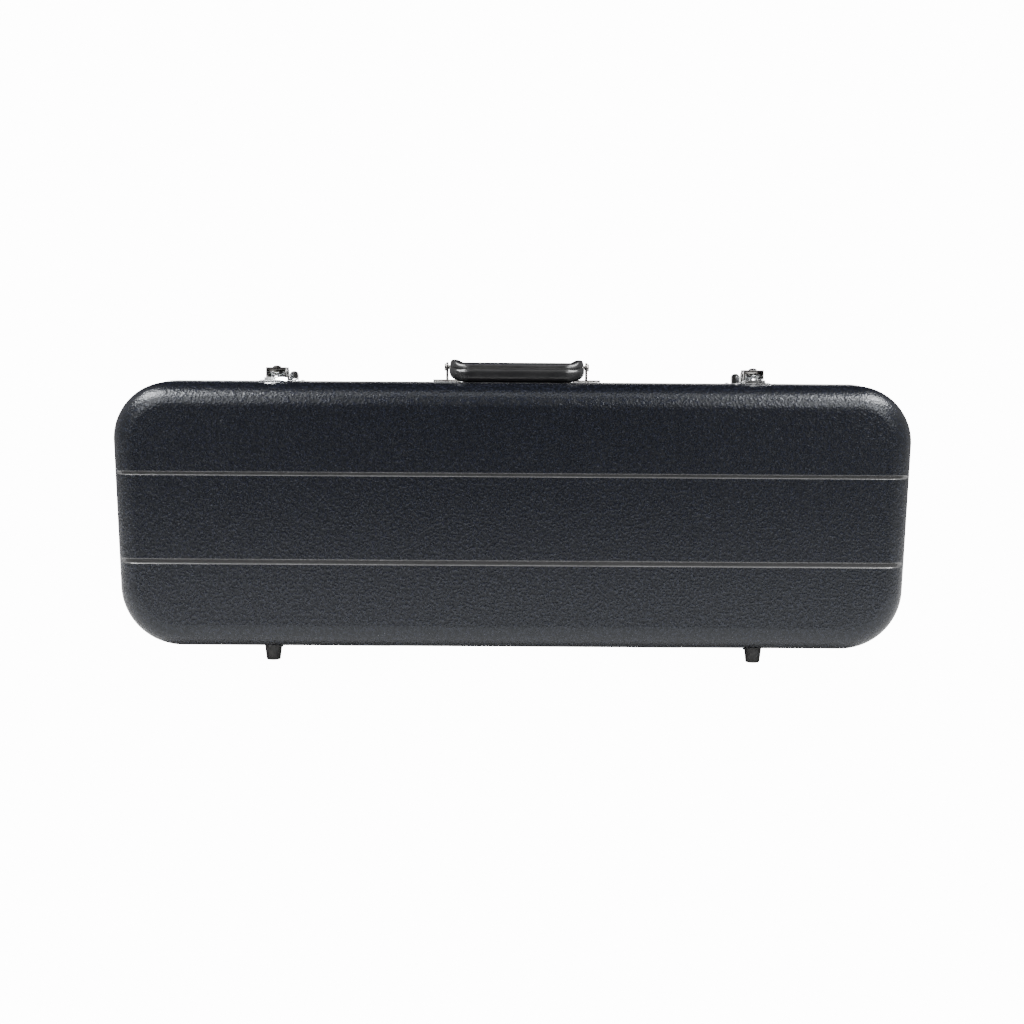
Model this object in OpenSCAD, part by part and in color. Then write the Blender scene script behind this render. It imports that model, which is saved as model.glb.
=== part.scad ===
// Oblong violin case: two moulded shells that meet in aluminium valances, hinged
// along the bottom edge, with a folding handle, two draw latches and four feet on
// the outside, and a fitted foam bed with bow holders and pockets on the inside.
// It stands on its hinge edge.  X runs along the case, -Y is the lid's face, Z is up.

/* [Shell] */
// Length of the shells over the top corners
shell_l = 797; // [780:1:800]
// Length of the shells over the bottom corners
shell_base_l = 786; // [774:1:788]
// Height of the shells, from the hinge edge to the handle edge
shell_h = 265; // [260:1:270]
// Depth of the lid, from its face to the seam
lid_d = 62; // [60:1:64]
// Depth of the base, from its back to the seam
base_d = 82; // [80:1:84]
// Corner radius beside the handle edge
top_r = 57; // [54:1:60]
// Corner radius beside the hinge edge
bottom_r = 62; // [58:1:64]
// Radius that rounds the face of each shell into its sides
edge_r = 24; // [22:1:25]
// Thickness of the shells
wall = 3; // [2.6:0.1:3.2]

/* [Grooves] */
// Width of each moulded groove
groove_w = 5; // [4:0.5:6]
// Depth of each moulded groove
groove_d = 1.3; // [0.8:0.1:1.5]
// Height of the upper groove above the shell's bottom
groove_high = 175; // [168:1:180]
// Height of the lower groove above the shell's bottom
groove_low = 87; // [80:1:90]

/* [Valance] */
// How far the valance stands proud of the shell
valance_proud = 1.5; // [1:0.1:1.6]
// Width of the valance's outer flange on each shell
valance_w = 7; // [6:0.5:7]

/* [Feet] */
// Height of the feet
foot_h = 16; // [15:1:18]
// Distance between the two feet of a shell
foot_span = 487; // [460:1:490]
// Radius of a foot where it meets the shell
foot_r = 9; // [8:0.5:9]

/* [Handle] */
// Width of the grip over its ends
grip_l = 137; // [130:1:137]
// Distance from the handle pins to the middle of the grip
grip_reach = 40; // [38:1:41]
// Height of the handle pins above the shell
handle_pin_h = 16.5; // [15.5:0.5:16.5]
// How far the handle sits towards the scroll end
handle_shift = 4; // [0:0.5:5]

/* [Latches] */
// Distance between the two latches
latch_span = 478; // [460:1:480]
// How far the latches and feet sit towards the scroll end
fitting_shift = 2; // [0:0.5:3]
// Width of a latch lever
lever_w = 20; // [20:1:22]
// Length of a latch lever in front of its pivot
lever_l = 22.5; // [21:0.5:24]

/* [Hinges] */
// Distance between the two hinges
hinge_span = 300; // [280:1:320]
// Length of each hinge
hinge_l = 50; // [50:5:60]
// Radius of the hinge knuckles
knuckle_r = 2.4; // [2.3:0.1:2.6]

/* [Interior] */
// Length of the body of the violin that the case is made for
violin_body_l = 356; // [350:1:358]
// Widest part of the violin body
lower_bout_w = 208; // [204:1:210]
// Width of the violin's waist
waist_w = 112; // [108:1:116]
// Width of the upper bout
upper_bout_w = 168; // [164:1:170]
// Width of the channel for the neck and scroll
neck_channel_w = 64; // [60:1:66]

/* [Hidden] */

left = -1;
right = 1;
lid_side = -1;
base_side = 1;

shell_bottom = foot_h;
shell_top = foot_h + shell_h;
mid_z = foot_h + shell_h / 2;
seam_y = (lid_d - base_d) / 2;

// Centre and radius of each rounded corner, anticlockwise from the top right one
corners = [
  [shell_l / 2 - top_r, shell_top - top_r, top_r],
  [-shell_l / 2 + top_r, shell_top - top_r, top_r],
  [-shell_base_l / 2 + bottom_r, shell_bottom + bottom_r, bottom_r],
  [shell_base_l / 2 - bottom_r, shell_bottom + bottom_r, bottom_r]
];
corner_steps = 16;
edge_steps = 7;
through = 40;

// Clearances: between parts that touch, parts that pass each other, and a pin in its hole
seat_gap = 0.05;
pass_gap = 0.4;
pin_gap = 0.05;

plate_t = 1.4;
rivet_r = 1.4;
rivet_head_r = 2.3;
rivet_head_h = 1.1;

// The seam stays open by this much on each side
seam_gap = 0.2;
valance_web = 2.4;
valance_inner_w = 9;
tongue_reach = 1;
tongue_t = 0.9;

foot_tip_r = 7.25;
foot_y_front = -39;
foot_y_rear = 36;
foot_round = 1.5;
rear_foot_spread = 8;
screw_r = 2;
screw_head_r = 3.8;
screw_head_h = 2.4;
screw_recess = 3;

hinge_y = seam_y;
knuckle_clear = 0.5;
hinge_z = shell_bottom - valance_proud - knuckle_r - knuckle_clear;
hinge_pin_r = 1.2;
hinge_leaf_w = 24;
knuckles = 5;
knuckle_gap = 0.5;

handle_pin_y = seam_y + 12;
handle_pin_z = shell_top + handle_pin_h;
handle_pin_r = 2.2;
handle_ear_x = 71.4;
handle_ear_t = 2.4;
bracket_w = 28.5;
grip_bar_r = 9.2;
grip_bar_t = 15;
lug_r = 7.5;
lug_w = 8;

// Latch places, measured from the seam and from the shell's top
pivot_y = -11.5;
pivot_h = 7.5;
pivot_r = 1.25;
claw_pin_y = -16.5;
claw_pin_h = 10;
claw_pin_r = 1;
lever_wall = 1.2;
lever_low = 5.6;
lever_high = 15;
claw_w = 10;
claw_t = 1.6;
hook_y = 10;
hook_h = 4;
keeper_w = 48;
keeper_y = valance_w + 0.3;
keeper_l = 15;

foam_gap = 0.4;
foam_face_y = seam_y + 12;
foam_floor_y = foam_face_y + 48;
cavity_play = 5;
violin_start_x = -372;
violin_end_x = violin_start_x + violin_body_l;
neck_end_x = 246;
pocket_b_x = [16, 148];
pocket_b_z = [50, 86];
end_pocket_x = [264, 380];
end_pocket_z = [46, 251];
pocket_round = 10;
divider_t = 3;

lining_t = 6;
lining_face_y = seam_y - lid_d + wall + foam_gap + lining_t;
accessory_lid_t = 3;
accessory_lid_y = foam_face_y - 0.6 - accessory_lid_t;
accessory_hinge_r = 2;
accessory_hinge_z = pocket_b_z[0] - 8;
accessory_pin_r = 0.9;

bow_z_offset = 50;
bow_clip_x = 300;
bow_tip_x = -352;

function corner_points(inset, steps) = [
  for (q = [0:3], i = [0:steps])
    let (a = 90 * q + 90 * i / steps, c = corners[q])
      [c[0] + (c[2] - inset) * cos(a), c[1] + (c[2] - inset) * sin(a)]
];

// Extrudes a drawing in X and Z along Y, between two places
module along_y(y_from, y_to) {
  translate([0, y_to, 0])
    rotate([90, 0, 0])
      linear_extrude(y_to - y_from)
        children();
}

// A rod along X
module rod_x(x_from, x_to, r) {
  translate([x_from, 0, 0])
    rotate([0, 90, 0])
      cylinder(r = r, h = x_to - x_from, $fn = 48);
}

module box(low, high) {
  translate(low)
    cube(high - low);
}

module case_outline(inset) {
  polygon(corner_points(inset, corner_steps));
}

// A band that follows the outline of the case
module outline_band(outer, inner, y_from, y_to) {
  along_y(y_from, y_to)
    difference() {
      case_outline(outer);
      case_outline(inner);
    }
}

// A shell's rounded form is a stack of rings that follow its outline.  The first ring lies
// at the distance start from the seam, and the rest close in along the rounded edge.
function form_rings(side, inset, start) =
  let (depth = (side == lid_side ? lid_d : base_d) - inset, round_r = edge_r - inset)
    concat(
      [[start, inset]],
      [for (i = [0:edge_steps])
        let (a = 90 * i / edge_steps)
          [depth - round_r + round_r * sin(a), inset + round_r * (1 - cos(a))]]
    );

function ring_points(rings) =
  [for (r = rings, p = corner_points(r[1], corner_steps)) [p[0], r[0], p[1]]];

ring_size = 4 * (corner_steps + 1);
last_ring = edge_steps + 1;

// Triangles between the ring numbered a and the ring numbered b
function band(a, b) = concat(
  [for (i = [0:ring_size - 1])
    [a * ring_size + i, a * ring_size + (i + 1) % ring_size, b * ring_size + (i + 1) % ring_size]],
  [for (i = [0:ring_size - 1])
    [a * ring_size + i, b * ring_size + (i + 1) % ring_size, b * ring_size + i]]
);

module on_side(side) {
  translate([0, seam_y, 0])
    mirror([0, side == lid_side ? 1 : 0, 0])
      children();
}

// The closed form of one shell, shrunk on every side by inset
module solid_form(side, inset, start) {
  faces = concat(
    [[for (i = [ring_size - 1:-1:0]) i]],
    [[for (i = [0:ring_size - 1]) last_ring * ring_size + i]],
    [for (k = [0:last_ring - 1], f = band(k, k + 1)) f]
  );
  on_side(side)
    polyhedron(ring_points(form_rings(side, inset, start)), faces);
}

// The space between two such forms, open at the seam
module hollow_form(side, outer, inner, start) {
  inside = last_ring + 1;
  faces = concat(
    [[for (i = [0:ring_size - 1]) last_ring * ring_size + i]],
    [[for (i = [ring_size - 1:-1:0]) (inside + last_ring) * ring_size + i]],
    [for (k = [0:last_ring - 1], f = band(k, k + 1)) f],
    [for (k = [0:last_ring - 1], f = band(inside + k + 1, inside + k)) f],
    band(inside, 0)
  );
  on_side(side)
    polyhedron(concat(ring_points(form_rings(side, outer, start)),
                      ring_points(form_rings(side, inner, start))), faces);
}

// Two straight grooves along the flat of a shell's face
module grooves(side) {
  face_y = seam_y + side * (side == lid_side ? lid_d : base_d);
  floor_y = face_y - side * groove_d;
  beyond_y = face_y + side;
  end_x = shell_base_l / 2 - edge_r - 2;
  for (h = [groove_low, groove_high])
    box([-end_x, min(floor_y, beyond_y), shell_bottom + h - groove_w / 2],
        [end_x, max(floor_y, beyond_y), shell_bottom + h + groove_w / 2]);
}

module shell(side) {
  difference() {
    hollow_form(side, 0, wall, seam_gap + valance_web + seat_gap);
    grooves(side);
  }
}

module foot_place(side, end) {
  x = fitting_shift + end * (foot_span / 2 + (side == base_side ? rear_foot_spread : 0));
  y = side == lid_side ? foot_y_front : foot_y_rear;
  translate([x, y, 0])
    children();
}

module hinge_place(end) {
  translate([end * hinge_span / 2, hinge_y, hinge_z])
    children();
}

module latch_place(end) {
  translate([fitting_shift + end * latch_span / 2, seam_y, shell_top])
    children();
}

// Places of the rivets, seen from above, on each kind of plate
latch_rivet_at = [for (x = [-1, 1], y = [-33, -20]) [14.3 * x, y]];
keeper_rivet_at = [for (x = [-1, 1]) [20.4 * x, keeper_y + keeper_l / 2]];
handle_rivet_at = [for (x = [-1, 1]) [x * 9.5, 12]];
hinge_rivet_at = [for (x = [-1, 0, 1]) [17 * x, 18]];

module rivet(t) {
  translate([0, 0, t])
    rotate_extrude($fn = 48)
      polygon([
        [0, 0],
        [rivet_head_r, 0],
        for (a = [15:15:90]) [rivet_head_r * cos(a), rivet_head_h * sin(a)]
      ]);
  translate([0, 0, -wall])
    cylinder(r = rivet_r, h = wall + t + 0.2, $fn = 32);
}

module rivet_holes_above(places) {
  for (p = places)
    translate([p[0], p[1], -through / 2])
      cylinder(r = rivet_r + seat_gap, h = through, $fn = 32);
}

module hinge_rivet_set(side, t) {
  for (end = [left, right])
    translate([end * hinge_span / 2, seam_y, shell_bottom])
      mirror([0, side == lid_side ? 1 : 0, 0])
        mirror([0, 0, 1])
          for (p = hinge_rivet_at)
            translate([p[0], p[1], 0])
              rivet(t);
}

// The rivets and screws are driven into the shells, which carry no holes of their own
module lid_shell() {
  color([0.06, 0.065, 0.08]) shell(lid_side);
}

module base_shell() {
  color([0.05, 0.055, 0.07]) shell(base_side);
}

// A channel round the edge of a shell, open away from the seam
module valance_channel(side) {
  y = function (d) seam_y + side * d;
  outer = -valance_proud;
  inner = wall + valance_proud;
  outline_band(outer, inner, min(y(seam_gap), y(seam_gap + valance_web)),
               max(y(seam_gap), y(seam_gap + valance_web)));
  outline_band(outer, -seat_gap, min(y(seam_gap), y(valance_w)), max(y(seam_gap), y(valance_w)));
  outline_band(wall + seat_gap, inner, min(y(seam_gap), y(valance_inner_w)),
               max(y(seam_gap), y(valance_inner_w)));
}

module base_valance() {
  color([0.76, 0.77, 0.78]) {
    valance_channel(base_side);
    outline_band(1, 1 + tongue_t, seam_y - tongue_reach, seam_y + seam_gap + valance_web / 2);
  }
}

module lid_valance() {
  groove_play = 0.6;
  color([0.78, 0.79, 0.80])
    difference() {
      valance_channel(lid_side);
      outline_band(1 - groove_play, 1 + tongue_t + groove_play,
                   seam_y - tongue_reach - groove_play, seam_y);
    }
}

module foot() {
  color([0.04, 0.04, 0.045])
    rotate_extrude($fn = 64)
      polygon([
        [screw_head_r + pass_gap, 0],
        [foot_tip_r - foot_round, 0],
        for (a = [15:15:75])
          [foot_tip_r - foot_round + foot_round * sin(a), foot_round - foot_round * cos(a)],
        [foot_tip_r, foot_round],
        [foot_r, foot_h - seat_gap],
        [screw_r + seat_gap, foot_h - seat_gap],
        [screw_r + seat_gap, screw_recess + screw_head_h],
        [screw_head_r + pass_gap, screw_recess + screw_head_h]
      ]);
}

module front_foot_left() { foot_place(lid_side, left) foot(); }
module front_foot_right() { foot_place(lid_side, right) foot(); }
module rear_foot_left() { foot_place(base_side, left) foot(); }
module rear_foot_right() { foot_place(base_side, right) foot(); }

module foot_screw() {
  slot_w = 0.9;
  slot_deep = 1;
  color([0.70, 0.70, 0.72])
    difference() {
      union() {
        translate([0, 0, screw_recess + seat_gap])
          cylinder(r = screw_head_r, h = screw_head_h - 2 * seat_gap, $fn = 48);
        translate([0, 0, screw_recess + screw_head_h / 2])
          cylinder(r = screw_r, h = foot_h + wall - screw_recess - screw_head_h / 2, $fn = 32);
      }
      for (a = [0, 90])
        translate([0, 0, screw_recess])
          rotate([0, 0, a])
            cube([screw_head_r * 1.2, slot_w, slot_deep * 2], center = true);
    }
}

module front_foot_screws() {
  for (end = [left, right]) foot_place(lid_side, end) foot_screw();
}

module rear_foot_screws() {
  for (end = [left, right]) foot_place(base_side, end) foot_screw();
}

// One leaf of a hinge: a plate under the shell that steps down past the valance
// and ends in its share of the knuckles
module hinge_leaf(side, len, owns) {
  pitch = len / knuckles;
  half = len / 2;
  step_top = shell_bottom - valance_proud - 0.1 - hinge_z;
  step_low = step_top - 1.3;
  plate_top = shell_bottom - seat_gap - hinge_z;
  plate_y = valance_w + 0.3;
  color([0.72, 0.72, 0.74])
    difference() {
      mirror([0, side == lid_side ? 1 : 0, 0])
        union() {
          for (k = [0:knuckles - 1])
            if (k % 2 == owns) {
              x = -half + k * pitch;
              rod_x(x + knuckle_gap / 2, x + pitch - knuckle_gap / 2, knuckle_r);
              box([x + knuckle_gap / 2, 0.6, step_low], [x + pitch - knuckle_gap / 2, 4, step_top]);
            }
          box([-half, 3.4, step_low], [half, plate_y + 1.5, step_top]);
          box([-half, plate_y, step_low], [half, plate_y + 1.5, plate_top]);
          box([-half, plate_y, plate_top - 1.3], [half, hinge_leaf_w + 2, plate_top]);
        }
      rod_x(-half - 1, half + 1, hinge_pin_r + pin_gap);
      mirror([0, side == lid_side ? 1 : 0, 0])
        rivet_holes_above(hinge_rivet_at);
    }
}

module hinge_lid_leaf_left() { hinge_place(left) hinge_leaf(lid_side, hinge_l, 1); }
module hinge_lid_leaf_right() { hinge_place(right) hinge_leaf(lid_side, hinge_l, 1); }
module hinge_base_leaf_left() { hinge_place(left) hinge_leaf(base_side, hinge_l, 0); }
module hinge_base_leaf_right() { hinge_place(right) hinge_leaf(base_side, hinge_l, 0); }

module hinge_pin() {
  color([0.62, 0.62, 0.64])
    rod_x(-hinge_l / 2 - 0.6, hinge_l / 2 + 0.6, hinge_pin_r);
}

module hinge_pin_left() { hinge_place(left) hinge_pin(); }
module hinge_pin_right() { hinge_place(right) hinge_pin(); }

module hinge_lid_rivets() {
  color([0.75, 0.75, 0.77]) hinge_rivet_set(lid_side, plate_t);
}

module hinge_base_rivets() {
  color([0.75, 0.75, 0.77]) hinge_rivet_set(base_side, plate_t);
}

// Seat of one handle bracket, at the seam on top of the shell
module handle_place(end) {
  translate([handle_shift + end * handle_ear_x, seam_y, shell_top])
    children();
}

module handle_bracket() {
  plate_from = valance_w + 0.3;
  ear_r = 5;
  flange_h = 3.8;
  pin_y = handle_pin_y - seam_y;
  color([0.72, 0.72, 0.73])
    difference() {
      union() {
        box([-bracket_w / 2, plate_from, seat_gap], [bracket_w / 2, plate_from + 14, plate_t]);
        box([-bracket_w / 2, plate_from, plate_t / 2], [bracket_w / 2, plate_from + plate_t, flange_h]);
        box([-handle_ear_t / 2, pin_y - ear_r + 0.3, plate_t / 2],
            [handle_ear_t / 2, pin_y + ear_r, handle_pin_h]);
        translate([0, pin_y, handle_pin_h])
          rod_x(-handle_ear_t / 2, handle_ear_t / 2, ear_r);
      }
      translate([0, pin_y, handle_pin_h])
        rod_x(-handle_ear_t, handle_ear_t, handle_pin_r + pin_gap);
      rivet_holes_above(handle_rivet_at);
    }
}

module handle_bracket_left() { handle_place(left) handle_bracket(); }
module handle_bracket_right() { handle_place(right) handle_bracket(); }

module handle_pin(end) {
  inside = grip_l / 2 - lug_w - 0.6;
  outside = handle_ear_x + handle_ear_t / 2;
  color([0.66, 0.66, 0.68])
    translate([handle_shift, handle_pin_y, handle_pin_z])
      mirror([end == left ? 1 : 0, 0, 0]) {
        rod_x(inside, outside + 0.5, handle_pin_r);
        rod_x(outside + seat_gap, outside + 1.6, handle_pin_r + 1.4);
      }
}

module handle_pin_left() { handle_pin(left); }
module handle_pin_right() { handle_pin(right); }

module handle_rivets() {
  color([0.75, 0.75, 0.77])
    for (end = [left, right])
      handle_place(end)
        for (p = handle_rivet_at)
          translate([p[0], p[1], 0])
            rivet(plate_t);
}

// The grip lies forward over the lid, with an arm back to each pin
module handle_grip() {
  bar_y = handle_pin_y - grip_reach;
  bar_z = shell_top + 0.8 + grip_bar_r;
  lug_mid = grip_l / 2 - lug_w / 2;
  color([0.03, 0.03, 0.035])
    translate([handle_shift, 0, 0])
    difference() {
      union() {
        hull()
          for (end = [left, right])
            translate([end * (grip_l / 2 - grip_bar_r), bar_y, bar_z])
              rotate([90, 0, 0])
                cylinder(r = grip_bar_r, h = grip_bar_t, center = true, $fn = 48);
        for (end = [left, right])
          hull() {
            translate([end * lug_mid, handle_pin_y, handle_pin_z])
              rod_x(-lug_w / 2, lug_w / 2, lug_r);
            translate([end * lug_mid, bar_y, bar_z])
              cube([lug_w, grip_bar_t - 4, grip_bar_r], center = true);
          }
        for (end = [left, right])
          translate([end * lug_mid, handle_pin_y, handle_pin_z])
            rod_x(-lug_w / 2, lug_w / 2, lug_r);
      }
      translate([0, handle_pin_y, handle_pin_z])
        rod_x(-grip_l, grip_l, handle_pin_r + pin_gap);
    }
}

// Plate and ears that carry one latch lever on the lid
module latch_plate() {
  plate_w = 34;
  plate_front = -36.5;
  plate_rear = -valance_w - 0.3;
  boss_w = 23;
  boss_rear = -19;
  boss_h = 4.9;
  ear_in = 7.2;
  ear_out = 8.4;
  ear_r = 4;
  color([0.80, 0.80, 0.82])
    difference() {
      union() {
        box([-plate_w / 2, plate_front, seat_gap], [plate_w / 2, plate_rear, plate_t]);
        box([-boss_w / 2, plate_front + 1.5, plate_t / 2], [boss_w / 2, boss_rear, boss_h]);
        for (x = [-ear_out, ear_in]) {
          box([x, pivot_y - ear_r, plate_t / 2], [x + ear_out - ear_in, pivot_y + ear_r, pivot_h]);
          translate([0, pivot_y, pivot_h])
            rod_x(x, x + ear_out - ear_in, ear_r);
        }
      }
      translate([0, pivot_y, pivot_h])
        rod_x(-lever_w, lever_w, pivot_r + pin_gap);
      rivet_holes_above(latch_rivet_at);
    }
}

module latch_plate_left() { latch_place(left) latch_plate(); }
module latch_plate_right() { latch_place(right) latch_plate(); }

module latch_pivot_pin() {
  color([0.66, 0.66, 0.68])
    translate([0, pivot_y, pivot_h])
      rod_x(-lever_w / 2 - 0.5, lever_w / 2 + 0.5, pivot_r);
}

module latch_pivot_pin_left() { latch_place(left) latch_pivot_pin(); }
module latch_pivot_pin_right() { latch_place(right) latch_pivot_pin(); }

// A channel with an open front end, and a fork behind it for the claw
module latch_lever() {
  front = pivot_y - lever_l;
  web_end = claw_pin_y - 4;
  fork_r = 5.5;
  color([0.83, 0.83, 0.85])
    difference() {
      union() {
        for (x = [-lever_w / 2, lever_w / 2 - lever_wall]) {
          box([x, front, lever_low], [x + lever_wall, pivot_y, lever_high]);
          translate([0, pivot_y, pivot_h])
            rod_x(x, x + lever_wall, fork_r);
        }
        box([-lever_w / 2, front, lever_high - lever_wall], [lever_w / 2, web_end, lever_high]);
        box([-lever_w / 2, web_end - lever_wall, claw_pin_h + 0.6], [lever_w / 2, web_end, lever_high]);
      }
      translate([0, pivot_y, pivot_h])
        rod_x(-lever_w, lever_w, pivot_r + pin_gap);
      translate([0, claw_pin_y, claw_pin_h])
        rod_x(-lever_w, lever_w, claw_pin_r + pin_gap);
      latch_stud_hole();
    }
}

stud_y = -26;
stud_shank_r = 1.5;

module latch_stud_hole() {
  translate([0, stud_y, lever_high - 2 * lever_wall])
    cylinder(r = stud_shank_r + seat_gap, h = 3 * lever_wall, $fn = 32);
}

module latch_stud() {
  dome_r = 4.2;
  dome_h = 1.9;
  color([0.85, 0.85, 0.87])
    translate([0, stud_y, lever_high + seat_gap]) {
      rotate_extrude($fn = 48)
        polygon([
          [0, 0],
          [dome_r, 0],
          for (a = [15:15:90]) [dome_r * cos(a), dome_h * sin(a)]
        ]);
      translate([0, 0, -lever_wall - 0.6])
        cylinder(r = stud_shank_r, h = lever_wall + 1, $fn = 32);
    }
}

module latch_lever_left() { latch_place(left) latch_lever(); }
module latch_lever_right() { latch_place(right) latch_lever(); }
module latch_stud_left() { latch_place(left) latch_stud(); }
module latch_stud_right() { latch_place(right) latch_stud(); }

module latch_claw_pin() {
  color([0.66, 0.66, 0.68])
    translate([0, claw_pin_y, claw_pin_h])
      rod_x(-lever_w / 2, lever_w / 2, claw_pin_r);
}

module latch_claw_pin_left() { latch_place(left) latch_claw_pin(); }
module latch_claw_pin_right() { latch_place(right) latch_claw_pin(); }

// The draw hook: an eye on the claw pin, a flat bar over the seam and a turned-down tip
module latch_claw() {
  eye_r = 2.3;
  color([0.82, 0.82, 0.84])
    difference() {
      union() {
        translate([0, claw_pin_y, claw_pin_h])
          rod_x(-claw_w / 2, claw_w / 2, eye_r);
        box([-claw_w / 2, claw_pin_y, claw_pin_h - claw_t / 2],
            [claw_w / 2, hook_y + claw_t, claw_pin_h + claw_t / 2]);
        box([-claw_w / 2, hook_y, hook_h], [claw_w / 2, hook_y + claw_t, claw_pin_h]);
      }
      translate([0, claw_pin_y, claw_pin_h])
        rod_x(-claw_w, claw_w, claw_pin_r + pin_gap);
    }
}

module latch_claw_left() { latch_place(left) latch_claw(); }
module latch_claw_right() { latch_place(right) latch_claw(); }

// A plate with a low lip for the hook between two round-topped cheeks
module latch_keeper() {
  lip_w = 16;
  lip_t = 2;
  cheek_x = 12.2;
  cheek_r = 4.2;
  cheek_h = 11.5;
  color([0.80, 0.80, 0.82])
    difference() {
      union() {
        box([-keeper_w / 2, keeper_y, seat_gap], [keeper_w / 2, keeper_y + keeper_l, plate_t]);
        box([-lip_w / 2, keeper_y, plate_t / 2], [lip_w / 2, keeper_y + lip_t, hook_h - pass_gap]);
        for (x = [-cheek_x, cheek_x]) {
          box([x - cheek_r, keeper_y + 1, plate_t / 2], [x + cheek_r, keeper_y + 9, cheek_h - cheek_r]);
          translate([x, keeper_y + 9, cheek_h - cheek_r])
            rotate([90, 0, 0])
              cylinder(r = cheek_r, h = 8, $fn = 48);
        }
      }
      rivet_holes_above(keeper_rivet_at);
    }
}

module latch_keeper_left() { latch_place(left) latch_keeper(); }
module latch_keeper_right() { latch_place(right) latch_keeper(); }

module latch_plate_rivets() {
  color([0.75, 0.75, 0.77])
    for (end = [left, right], p = latch_rivet_at)
      latch_place(end)
        translate([p[0], p[1], 0])
          rivet(plate_t);
}

module latch_keeper_rivets() {
  color([0.75, 0.75, 0.77])
    for (end = [left, right], p = keeper_rivet_at)
      latch_place(end)
        translate([p[0], p[1], 0])
          rivet(plate_t);
}

// A pocket cut straight down from the foam's face, with round corners
module foam_pocket(x, z) {
  r = pocket_round;
  along_y(foam_face_y - through, foam_floor_y)
    union() {
      translate([x[0] + r, z[0]])
        square([x[1] - x[0] - 2 * r, z[1] - z[0]]);
      translate([x[0], z[0] + r])
        square([x[1] - x[0], z[1] - z[0] - 2 * r]);
      for (cx = [x[0] + r, x[1] - r], cz = [z[0] + r, z[1] - r])
        translate([cx, cz])
          circle(r = r, $fn = 32);
    }
}

// The violin's outline with room round it: two round bouts and a narrow waist
module violin_cavity() {
  lower_r = lower_bout_w / 2 + cavity_play;
  upper_r = upper_bout_w / 2 + cavity_play;
  waist = waist_w + 6 * cavity_play;
  lower_x = violin_start_x + lower_bout_w / 2;
  upper_x = violin_end_x - upper_bout_w / 2;
  along_y(foam_face_y - through, foam_floor_y)
    union() {
      translate([lower_x, mid_z]) circle(r = lower_r, $fn = 96);
      translate([upper_x, mid_z]) circle(r = upper_r, $fn = 96);
      translate([lower_x, mid_z - waist / 2]) square([upper_x - lower_x, waist]);
      translate([violin_end_x - 20, mid_z - neck_channel_w / 2])
        square([neck_end_x - violin_end_x + 20, neck_channel_w]);
    }
}

module foam_bed() {
  color([0.20, 0.20, 0.23])
    difference() {
      solid_form(base_side, wall + foam_gap, foam_face_y - seam_y);
      violin_cavity();
      foam_pocket(pocket_b_x, pocket_b_z);
      foam_pocket(end_pocket_x, end_pocket_z);
      for (end = [left, right]) {
        foot_place(base_side, end)
          cylinder(r = screw_r + 1, h = foot_h + wall + 2, $fn = 32);
      }
    }
}

// A padded lining that covers the inside of the lid up to its valance
module lid_lining() {
  outer = wall + foam_gap;
  color([0.20, 0.20, 0.23])
    hollow_form(lid_side, outer, outer + lining_t, valance_inner_w + 1);
}

cradle_x = [166, 196];

// A block across the neck channel with a round notch that the neck lies in
module neck_cradle() {
  notch_r = 17;
  block_y = foam_face_y + 14;
  half = neck_channel_w / 2 - 0.4;
  color([0.24, 0.24, 0.27])
    difference() {
      box([cradle_x[0], block_y, mid_z - half], [cradle_x[1], foam_floor_y - 0.2, mid_z + half]);
      translate([cradle_x[0] - 1, block_y, mid_z])
        rod_x(0, cradle_x[1] - cradle_x[0] + 2, notch_r);
    }
}

// The two halves of the neck strap lie open beside the neck channel
module neck_strap(side) {
  strap_l = 62;
  strap_t = 1.6;
  edge = mid_z + side * (neck_channel_w / 2 + 4);
  far = edge + side * strap_l;
  color([0.12, 0.12, 0.14])
    box([cradle_x[0], foam_face_y - 0.1 - strap_t, min(edge, far)],
        [cradle_x[1], foam_face_y - 0.1, max(edge, far)]);
}

module neck_strap_upper() { neck_strap(1); }
module neck_strap_lower() { neck_strap(-1); }

module pocket_divider() {
  play = 0.4;
  color([0.24, 0.24, 0.27])
    box([end_pocket_x[0] + play, foam_face_y + 4, mid_z - divider_t / 2],
        [end_pocket_x[1] - play, foam_floor_y - play, mid_z + divider_t / 2]);
}

accessory_hinge_y = accessory_lid_y + accessory_lid_t / 2;
accessory_pitch = (pocket_b_x[1] - pocket_b_x[0]) / knuckles;

module accessory_knuckles(owns) {
  for (k = [0:knuckles - 1])
    if (k % 2 == owns) {
      x = pocket_b_x[0] + k * accessory_pitch;
      translate([0, accessory_hinge_y, accessory_hinge_z])
        rod_x(x + knuckle_gap / 2, x + accessory_pitch - knuckle_gap / 2, accessory_hinge_r);
    }
}

module accessory_bore() {
  translate([0, accessory_hinge_y, accessory_hinge_z])
    rod_x(pocket_b_x[0] - 1, pocket_b_x[1] + 1, accessory_pin_r + pin_gap);
}

// Padded board over the small pocket, hinged along its lower edge
module accessory_lid() {
  top_z = pocket_b_z[1] - 2;
  color([0.22, 0.22, 0.25])
    difference() {
      union() {
        box([pocket_b_x[0], accessory_lid_y, accessory_hinge_z + accessory_hinge_r + 1],
            [pocket_b_x[1], accessory_lid_y + accessory_lid_t, top_z]);
        accessory_knuckles(1);
        for (k = [0:knuckles - 1])
          if (k % 2 == 1)
            box([pocket_b_x[0] + k * accessory_pitch + knuckle_gap / 2, accessory_lid_y + 0.7,
                 accessory_hinge_z],
                [pocket_b_x[0] + (k + 1) * accessory_pitch - knuckle_gap / 2,
                 accessory_lid_y + accessory_lid_t - 0.7, accessory_hinge_z + accessory_hinge_r + 2]);
      }
      accessory_bore();
    }
}

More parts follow.
